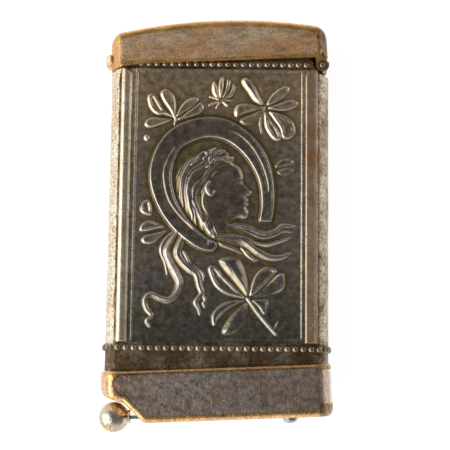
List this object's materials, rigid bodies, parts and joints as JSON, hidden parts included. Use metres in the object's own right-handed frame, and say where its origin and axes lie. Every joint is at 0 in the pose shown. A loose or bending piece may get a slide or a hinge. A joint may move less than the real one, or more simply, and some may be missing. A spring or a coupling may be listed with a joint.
{
  "type": "match safe",
  "caption": "Flat pocket match safe with an embossed front panel, beaded trim, an arched lid on a corner hinge and a sliding cigar cutter with a ball grip in its base.",
  "frame": {"origin": "middle of the bounding box in X and Y, on the plane that the back of the lid and base rests on", "axes": "+X across the case to the hinge side, +Y from the base to the lid, +Z out of the embossed front"},
  "size_m": [0.0414, 0.0732, 0.012],
  "materials": {
    "case_plate": "worn nickel plate over brass, pitted",
    "inner_brass": "dull brass",
    "trim_plate": "worn nickel plate over brass, darkened",
    "panel_silver": "embossed sheet, silver plated, with dark patina",
    "lid_plate": "worn nickel plate, brass showing along the edges",
    "base_plate": "worn nickel plate, scratched, brass showing along the edges",
    "ball_plate": "polished nickel plate, worn to brass underneath",
    "steel": "bare steel"
  },
  "bodies": {
    "case": {"body_tube": "case_plate", "neck_sleeve": "inner_brass", "chamber_floor": "inner_brass", "lower_bead_band": "trim_plate", "front_panel": "panel_silver", "back_panel": "panel_silver", "front_upper_bead_row": "trim_plate", "back_upper_bead_row": "trim_plate", "front_right_rail": "trim_plate", "front_left_rail": "trim_plate", "back_left_rail": "trim_plate", "back_right_rail": "trim_plate", "hinge_knuckle_front": "inner_brass", "hinge_knuckle_back": "inner_brass", "hinge_pin": "steel", "lid_spring": "steel", "spring_rivet": "inner_brass", "base_cap": "base_plate", "striker_plate": "steel"},
    "lid": {"lid_shell": "lid_plate", "lid_thumb_lip": "lid_plate", "lid_cam": "inner_brass"},
    "cutter": {"cutter_blade": "steel", "thumb_ball": "ball_plate", "guide_stud": "steel", "stud_washer": "inner_brass"}
  },
  "joints": [
    {"name": "lid_hinge", "type": "hinge", "parent": "case", "child": "lid", "pos_m": [0.01837, 0.02832, 0.0059], "axis": [0, 0, -1], "range_deg": [0, 100]},
    {"name": "cutter_slide", "type": "slide", "parent": "case", "child": "cutter", "axis": [-0.9988, -0.048, 0], "range_m": [0, 0.0078]}
  ]
}
